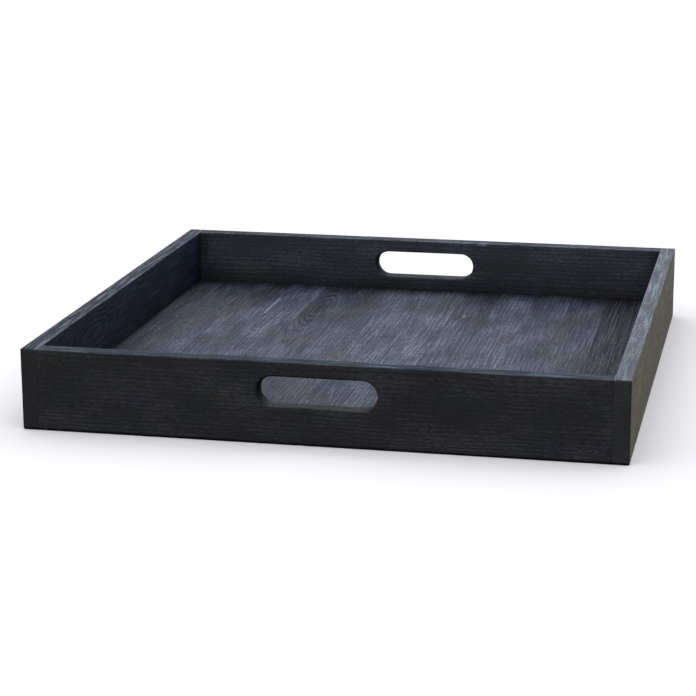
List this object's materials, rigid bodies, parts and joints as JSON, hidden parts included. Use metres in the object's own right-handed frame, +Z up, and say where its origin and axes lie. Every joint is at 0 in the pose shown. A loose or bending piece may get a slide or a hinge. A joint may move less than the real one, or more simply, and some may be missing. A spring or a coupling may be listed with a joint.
{
  "type": "wooden tray",
  "caption": "Square wooden serving tray with low boards round a stave-glued base and a round-ended hand slot in the front and rear boards.",
  "frame": {"origin": "on the ground under the tray's centre, in the plane of the boards' lower edges", "axes": "+Z up; +X to the right along the handle boards; the front handle board faces -Y"},
  "size_m": [0.6, 0.6, 0.083],
  "materials": {
    "stained_board": "black stain, brushed grain, satin",
    "stained_base": "black stain, brushed grain, satin",
    "beech_dowel": "bare, fluted"
  },
  "bodies": {
    "root": {"front_handle_board": "stained_board", "rear_handle_board": "stained_board", "left_side_board": "stained_board", "right_side_board": "stained_board", "base_stave_01_1": "stained_base", "base_stave_01_2": "stained_base", "base_stave_02_1": "stained_base", "base_stave_02_2": "stained_base", "base_stave_03_1": "stained_base", "base_stave_03_2": "stained_base", "base_stave_04_1": "stained_base", "base_stave_04_2": "stained_base", "base_stave_05_1": "stained_base", "base_stave_05_2": "stained_base", "base_stave_06_1": "stained_base", "base_stave_06_2": "stained_base", "base_stave_07_1": "stained_base", "base_stave_07_2": "stained_base", "base_stave_08_1": "stained_base", "base_stave_08_2": "stained_base", "base_stave_08_3": "stained_base", "base_stave_09_1": "stained_base", "base_stave_09_2": "stained_base", "base_stave_10_1": "stained_base", "base_stave_10_2": "stained_base", "base_stave_11_1": "stained_base", "base_stave_11_2": "stained_base", "base_stave_12_1": "stained_base", "base_stave_12_2": "stained_base", "base_stave_13_1": "stained_base", "base_stave_13_2": "stained_base", "base_stave_14_1": "stained_base", "base_stave_14_2": "stained_base", "dowel_front_left_lower": "beech_dowel", "dowel_front_left_upper": "beech_dowel", "dowel_front_right_lower": "beech_dowel", "dowel_front_right_upper": "beech_dowel", "dowel_rear_left_lower": "beech_dowel", "dowel_rear_left_upper": "beech_dowel", "dowel_rear_right_lower": "beech_dowel", "dowel_rear_right_upper": "beech_dowel"}
  },
  "joints": []
}
